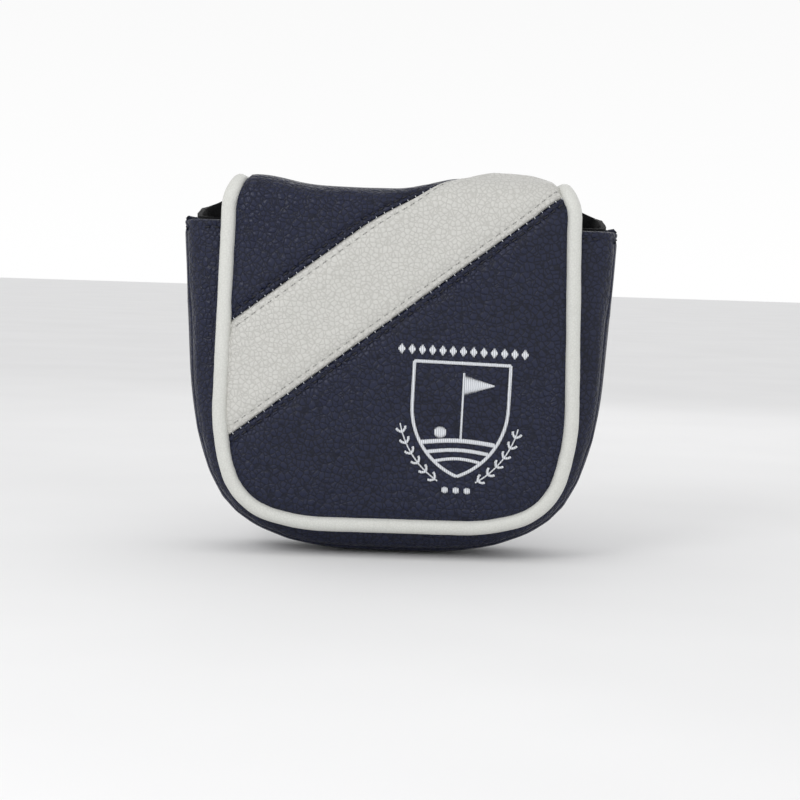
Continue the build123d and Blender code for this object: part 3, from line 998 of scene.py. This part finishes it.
fine_bag = loops_of(bag)
bpy.data.objects.remove(bag)
for sign in (-1, 1):
    for off in (-2.4, -1.4, -0.8, -0.35, 0.0, 0.35, 0.8, 1.4, 2.4):
        cut(fine_bag, Vector((0, sign * (SEAM_Y + off), 0)), Vector((0, 1, 0)))
for level in (MOUTH_Z - 3.0, HEM_ROW_Z, MOUTH_Z - 1.6, MOUTH_Z - 0.7):
    cut(fine_bag, Vector((0, 0, level)), Vector((0, 0, 1)))
fine_bag.normal_update()
for vert in fine_bag.verts:
    seam = abs(vert.co.y) - SEAM_Y
    inwards = 0.75 * bell(seam, 0.45) + 0.18 * bell(seam, 2.2) - 0.12 * bell(abs(seam) - 3.2, 1.6)
    row = abs(vert.co.z - HEM_ROW_Z)
    if vert.co.y < SEAM_Y:
        inwards += 0.42 * bell(row, 0.8)
    vert.co -= vert.normal * inwards
    if vert.co.y < 0 and abs(vert.co.x) < FLAP_HALF + 1:
        vert.co.y = max(vert.co.y, FLAP_REST_Y)
print("bag cut:", len(fine_bag.faces), "faces")



def carry(piece, slot_name, *nodes):
    """The piece stays with the pouch and stands for the CAD nodes."""
    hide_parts(*nodes)
    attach(piece, "pouch")


HEM = ((0.12, 0.45), (0.55, 0.8), (1.3, 0.95), (2.5, 0.9), (3.2, 0.5), (3.3, -1.5))
HEM_START = -0.9
skins = {}
for side in ("front", "gusset", "back"):
    panel = only(fine_bag, side)
    cut_mouth(panel, side, HEM_START)
    panel.normal_update()
    turn_in(panel, mouth_rim(panel, HEM_START), HEM)
    piece = finish_mesh(panel, "pouch_skin_" + side, NAVY)
    add_thickness(piece, 1.0)
    carry(piece, "navy_leather", side + "_panel")
    skins[side] = piece
    print(piece.name, len(piece.data.polygons), "faces")

# %% [markdown]
# Padding and fleece of the pouch are the same block again, further in. The fleece stands
# a little above the hem and has a rounded, fuzzy rim. It is black and soft, and it is
# what shows in the open corners of the mouth.

# %% The pouch's padding and fleece
FOAM_INSET = 2.3
FLEECE_INSET = 4.35


def inner_layer(inset, voxel, name):
    """Block further in, remeshed and subdivided, as a bmesh in mm."""
    even = evened(pouch_block(inset), name, voxel)
    bm = loops_of(even)
    bpy.data.objects.remove(even)
    return bm


SIDE_SLOPE = Vector((0, -0.15, 1)).normalized()


def open_top(bm, lift, back_lift):
    """Cuts the mouth of a whole layer, rising a little along the sides to the back."""
    cut(bm, Vector((0, SEAM_Y, 0)), Vector((0, 1, 0)))
    faces = [f for f in bm.faces if f.calc_center_median().y < SEAM_Y]
    edges = {e for f in faces for e in f.edges}
    verts = {v for f in faces for v in f.verts}
    bmesh.ops.bisect_plane(
        bm, geom=list(verts) + list(edges) + faces, dist=0.02,
        plane_co=(0, -SEAM_Y, MOUTH_Z + lift), plane_no=SIDE_SLOPE, clear_outer=True,
    )
    cut_mouth(bm, "back", back_lift)


padding = inner_layer(FOAM_INSET, 4.0, "padding")
open_top(padding, -2.5, -2.5)
piece = finish_mesh(padding, "pouch_padding", FOAM)
add_thickness(piece, 1.4)
carry(piece, "foam", "front_foam", "gusset_foam", "back_foam")

fleece_bag = inner_layer(FLEECE_INSET, 3.0, "fleece")
open_top(fleece_bag, 1.0, 1.9)
fleece_bag.normal_update()
for vert in fleece_bag.verts:
    pile = noise.noise(vert.co / 0.9) * 0.16 + noise.noise(vert.co / 3.5) * 0.12
    vert.co += vert.normal * pile
piece = finish_mesh(fleece_bag, "pouch_fleece", FLEECE)
add_thickness(piece, 1.5)
rounding = piece.modifiers.new("rounding", "BEVEL")
rounding.width = 0.6 * MM
rounding.segments = 2
rounding.angle_limit = math.radians(60)
carry(piece, "fleece_lining", "front_lining", "gusset_lining", "back_lining")
print("fleece", len(piece.data.polygons), "faces")

# %% [markdown]
# A stitch is a short, fat bead of thread that disappears into a hole at each end, so a
# squashed ball with few faces is enough for one. A row is many of them, each turned along
# its own bit of the seam and sunk into the groove that it pulls. The places of a row come
# from the same folding rule as the leather, so thread and leather can't drift apart.

# %% Stitches
PITCH = 2.9


bead_shape = bmesh.new()
bmesh.ops.create_uvsphere(bead_shape, u_segments=8, v_segments=5, radius=1)
BEAD = bpy.data.meshes.new("bead")
bead_shape.to_mesh(BEAD)
bead_shape.free()


def add_stitch(bm, place, along, out, size):
    """One bead of thread in a bmesh. size is its length, width and height."""
    along = along.normalized()
    side = out.cross(along).normalized()
    turn = Matrix((along, side, along.cross(side))).transposed().to_4x4()
    scale = Matrix.Diagonal((size[0] / 2, size[1] / 2, size[2] / 2, 1))
    bead = BEAD.copy()
    bead.transform(Matrix.Translation(place) @ turn @ scale)
    bm.from_mesh(bead, face_normals=False, vertex_normals=False)
    bpy.data.meshes.remove(bead)


def on_skin(x, along, lift):
    """Place and outward direction on the flap's skin, lifted by lift."""
    near = edges_of_blank.find(Vector((x, 0, along)))[2]
    height = relief(x, along, near) + lift
    place = fold(x, along, height)
    return place, (fold(x, along, height + 1) - place).normalized()


def seam_places(distance):
    """Points on the blank, a stitch apart, on a line beside the stripe's lower seam."""
    start = ACROSS_STRIPE * distance + Vector((0, STRIPE_LOW))
    places = []
    for step in range(-60, 120):
        spot = start + ALONG_STRIPE * (step * PITCH)
        near = edges_of_blank.find(Vector((spot.x, 0, spot.y)))[2]
        if abs(spot.x) < FLAP_HALF - EDGE_SEAM and near > 1.6 and spot.y < FOOT - 4:
            places.append(spot)
    return places


def sewn_row(name, distances, size, lift, material, across=False):
    """Rows of stitches beside the stripe, as one piece placed on the folded skin."""
    bm = bmesh.new()
    count = 0
    for distance in distances:
        for spot in seam_places(distance):
            place, out = on_skin(spot.x, spot.y, lift)
            ahead, _ = on_skin(spot.x + ALONG_STRIPE.x, spot.y + ALONG_STRIPE.y, lift)
            direction = ahead - place
            if across:
                direction = out.cross(direction)
            add_stitch(bm, place, direction, out, size)
            count += 1
    piece = finish_mesh(bm, name, material)
    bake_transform(piece)
    print(name, count, "stitches")
    return piece


piece = sewn_row(
    "panel_topstitch", (ROW_OUTSIDE, STRIPE_WIDTH - ROW_OUTSIDE),
    (2.2, 0.7, 0.7), 0.24, DARK_THREAD,
)
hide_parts("flap_panel_stitching")
piece = sewn_row(
    "stripe_topstitch", (ROW_INSIDE, STRIPE_WIDTH - ROW_INSIDE),
    (1.95, 0.36, 0.4), 0.04, WHITE_THREAD_SHADED,
)
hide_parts("flap_stripe_stitching")
sewn_row(
    "seam_ticks", (-0.15, STRIPE_WIDTH + 0.15),
    (0.75, 0.28, 0.4), 0.35, BADGE_THREAD, across=True,
)

# %% [markdown]
# The hem of the mouth has a row of its own all round the front and the sides, and the
# flap's foot is sewn to the back with another. A plane cut through a skin gives the line
# that the row follows, and the way out of the leather is square to that line.

# %% Rows on the pouch
def section_line(piece, level):
    """Points in mm where a level plane meets the outer skin of a piece."""
    bm = in_mm(piece.data)
    geometry = bm.verts[:] + bm.edges[:] + bm.faces[:]
    bmesh.ops.bisect_plane(
        bm, geom=geometry, plane_co=(0, 0, level), plane_no=(0, 0, 1),
        clear_inner=True, clear_outer=True,
    )
    places = [vert.co.copy() for vert in bm.verts]
    bm.free()
    return places


def row_along(places, key, pitch):
    """Every pitch-th millimetre along places sorted by key, with the way along."""
    ordered = sorted(places, key=key)
    travelled, wanted, row = 0.0, pitch / 2, []
    for before, after in zip(ordered, ordered[1:]):
        length = (after - before).length
        while length > 1e-6 and travelled + length >= wanted:
            share = (wanted - travelled) / length
            row.append((before.lerp(after, share), (after - before).normalized()))
            wanted += pitch
        travelled += length
    return row


def round_angle(place):
    """Angle of a place round the pouch's upright axis, for sorting along the front."""
    return math.atan2(place.x, -place.y * 3.0)


def sew_on_pouch(name, node_name, stitches, size):
    """A row on the pouch as one piece. stitches are (place, along, out)."""
    bm = bmesh.new()
    for place, along, out in stitches:
        add_stitch(bm, place, along, out, size)
    carry(finish_mesh(bm, name, DARK_THREAD), "dark_thread", node_name)
    print(name, len(stitches), "stitches")


THREAD_SIZE = (2.1, 0.6, 0.6)
PROUD = 0.12
FRONT_ROW_END = 62.0
OUTER_SKIN_Y = -16.2
front_line = [
    p for p in section_line(skins["front"], HEM_ROW_Z)
    if abs(p.x) < FRONT_ROW_END and p.y < OUTER_SKIN_Y
]
stitches = []
for place, along in row_along(front_line, round_angle, PITCH):
    out = Vector((along.y, -along.x, 0))
    if out.dot(Vector((place.x / 8, place.y, 0))) < 0:
        out = -out
    stitches.append((place + out * PROUD, along, out))
gusset_line = [
    p for p in section_line(skins["gusset"], HEM_ROW_Z)
    if abs(p.x) > 64 and abs(p.y) < SEAM_Y - 2
]
for sign in (-1, 1):
    out = Vector((sign, 0, 0))
    side_line = [p for p in gusset_line if p.x * sign > 0]
    for place, along in row_along(side_line, lambda p: p.y, PITCH):
        stitches.append((place + out * PROUD, along, out))
sew_on_pouch("mouth_hem_row", "hem_stitching", stitches, THREAD_SIZE)

FOOT_ROW_Z = SHOULDER_Z - 2.9
FOOT_ROW_END = 51.0
outermost = {}
for place in section_line(skins["back"], FOOT_ROW_Z):
    if place.y > BACK_Y - 3 and abs(place.x) < FOOT_ROW_END:
        key = round(place.x)
        if key not in outermost or place.y > outermost[key].y:
            outermost[key] = place
out = Vector((0, 1, 0))
stitches = []
for place, along in row_along(outermost.values(), lambda p: p.x, PITCH):
    stitches.append((place + out * 0.1, along, out))
sew_on_pouch("flap_foot_row", "back_stitching", stitches, (2.1, 0.5, 0.5))

# %% [markdown]
# Embroidery is satin stitch: threads laid close together across a narrow shape, so that
# each shape is a raised, silky bar. A satin column follows a line, with one thread every
# third of a millimetre across it. A satin fill lays upright threads between two edges.
# The badge is a plain shield with a golf flag, a ball and a mound, a row of lozenges over
# it and a leaf sprig at each side.

# %% Satin stitch
THREAD_PITCH = 0.34
THREAD_WIDTH = 0.42
BADGE_LIFT = 0.22
BADGE_TURN = math.radians(-1.3)
BADGE_HALF_W = (badge_high.x - badge_low.x) / 2
BADGE_TALL = badge_high.z - badge_low.z
badge = bmesh.new()


def badge_spot(u, v):
    """Point on the blank for a point of the badge: u right of its middle, v below its top."""
    return BADGE_MIDDLE + Matrix.Rotation(BADGE_TURN, 2) @ Vector((u, BADGE_TALL / 2 - v))


def lay_thread(first, second, height=0.42):
    """One thread of satin from one badge point to another."""
    a, b = badge_spot(*first), badge_spot(*second)
    middle = (a + b) / 2
    place, _ = on_skin(middle.x, middle.y, BADGE_LIFT)
    along = Vector((b.x - a.x, 0, b.y - a.y))
    size = (along.length * 1.04, THREAD_WIDTH, height)
    add_stitch(badge, place, along, Vector((0, -1, 0)), size)


def satin_column(points, width, lean=0.25):
    """Threads across a line of badge points."""
    travelled, wanted = 0.0, 0.0
    for before, after in zip(points, points[1:]):
        before, after = Vector(before), Vector(after)
        length = (after - before).length
        way = (after - before) / length
        across = Vector((-way.y, way.x)) + way * lean
        while travelled + length >= wanted:
            spot = before + way * (wanted - travelled)
            half = across * (width / 2) * (1 + 0.06 * noise.noise(Vector((*spot, 0.5)) * 2))
            lay_thread(spot - half, spot + half)
            wanted += THREAD_PITCH
        travelled += length


def satin_fill(left, right, low, high):
    """Upright threads from left to right between two edges given as functions of u."""
    count = max(2, round((right - left) / THREAD_PITCH))
    for step in range(count + 1):
        u = left + (right - left) * step / count
        if abs(high(u) - low(u)) > 0.25:
            lay_thread((u, low(u)), (u + 0.05, high(u)))


def satin_disc(u, v, radius):
    """Round spot of upright threads."""
    def half(at):
        return math.sqrt(max(0.0, radius ** 2 - (at - u) ** 2))

    satin_fill(u - radius, u + radius, lambda at: v - half(at), lambda at: v + half(at))


# %% [markdown]
# The shield's edge is straight at the top and the upper sides and then closes in an arc
# that is tangent to the side and ends at the tip, so one radius follows from the half
# width and the height that are left.

# %% The shield
STRAIGHT = 13.6
BORDER = 1.15
inner_w = BADGE_HALF_W - BORDER / 2
arc_tall = BADGE_TALL - STRAIGHT - BORDER / 2
ARC_R = (inner_w ** 2 + arc_tall ** 2) / (2 * inner_w)
arc_turn = math.asin(arc_tall / ARC_R)
right_side = [(0, BORDER / 2), (inner_w, BORDER / 2), (inner_w, STRAIGHT)]
for step in range(1, 17):
    angle = arc_turn * step / 16
    right_side.append((inner_w - ARC_R + ARC_R * math.cos(angle), STRAIGHT + ARC_R * math.sin(angle)))
left_side = [(-u, v) for u, v in right_side]
satin_column(right_side, BORDER)
satin_column(left_side, BORDER, lean=-0.25)

# %% [markdown]
# Inside: a flag on its pole, a ball, and a mound of three satin swells that fills the
# point of the shield. Outside: lozenges in a straight row above, sprigs of leaves along
# both lower sides and three beads under the tip.

# %% Flag, ball, mound and trimmings
def shield_edge(v):
    """Half width of the shield's inside at v below its top."""
    if v < STRAIGHT:
        return inner_w - BORDER / 2
    reach = min(1.0, (v - STRAIGHT) / ARC_R)
    return max(0.0, inner_w - ARC_R + ARC_R * math.sqrt(1 - reach * reach) - BORDER / 2)


POLE_TOP, POLE_FOOT = 3.6, 24.0
satin_column([(0.6, POLE_TOP), (0.6, POLE_FOOT)], 0.75, lean=0.1)
satin_fill(1.1, 9.6, lambda u: 4.0 + 0.30 * (u - 1.1), lambda u: 10.2 - 0.36 * (u - 1.1))
satin_disc(-5.6, 21.4, 1.9)
for level, thick in ((24.6, 1.5), (27.4, 1.3), (30.0, 1.1)):
    half = shield_edge(level) + 0.1
    ridge = []
    for step in range(-12, 13):
        rise = 0.9 * math.cos(step / 12 * math.pi / 2)
        ridge.append((half * step / 12, level - rise))
    satin_column(ridge, thick)
LOZENGE = Vector((1.15, 1.9))
LOZENGE_V = -2.9
for index in range(-6, 7):
    middle = index * 3.05
    satin_fill(
        middle - LOZENGE.x, middle + LOZENGE.x,
        lambda u: LOZENGE_V - LOZENGE.y * (1 - abs(u - middle) / LOZENGE.x),
        lambda u: LOZENGE_V + LOZENGE.y * (1 - abs(u - middle) / LOZENGE.x),
    )
STEM_R = ARC_R + 3.9
for sign in (-1, 1):
    stem = []
    for step in range(25):
        angle = math.radians(13 + step * 1.9)
        across = inner_w - ARC_R + STEM_R * math.cos(angle)
        stem.append(Vector((sign * across, STRAIGHT + STEM_R * math.sin(angle))))
    satin_column(stem, 0.5)
    for step in range(3, 24, 4):
        way = (stem[step + 1] - stem[step - 1]).normalized()
        for side in (-1, 1):
            outward = Vector((-way.y, way.x)) * side
            leaf = (outward * 0.8 - way * 0.6).normalized()
            bend = (outward * 0.35 - way * 0.9).normalized()
            start = stem[step] + leaf * 0.35
            satin_column([start, start + leaf * 1.0, start + leaf * 1.0 + bend * 0.8], 0.85)
for index in (-1, 0, 1):
    satin_disc(index * 3.3, BADGE_TALL + 3.6, 1.1)
piece = finish_mesh(badge, "embroidered_badge", BADGE_THREAD)
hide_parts("badge")
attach(piece, "flap_front")
print("badge:", len(piece.data.polygons), "faces")

# %% [markdown]
# The magnets keep their CAD shape and get a plated finish. The floor is a wide sheet that
# isn't part of the object.

# %% Magnets, floor and the end
for name in ("pouch_magnets", "flap_magnets"):
    frame["nodes"][name].data.materials.clear()
    frame["nodes"][name].data.materials.append(NICKEL)

floor_material, tree, shader, place = new_material("pale_floor")
speck = node(tree, "ShaderNodeTexNoise", [("Vector", place)], Scale=9).outputs["Fac"]
colour = ramp(tree, speck, ((0.3, (0.88, 0.88, 0.88)), (0.7, (0.91, 0.91, 0.91))))
tree.links.new(colour, shader.inputs["Base Color"])
shader.inputs["Roughness"].default_value = 1.0
sheet = bmesh.new()
bmesh.ops.create_grid(sheet, x_segments=1, y_segments=1, size=6000)
floor = finish_mesh(sheet, "floor", floor_material)
floor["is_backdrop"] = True

low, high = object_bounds()
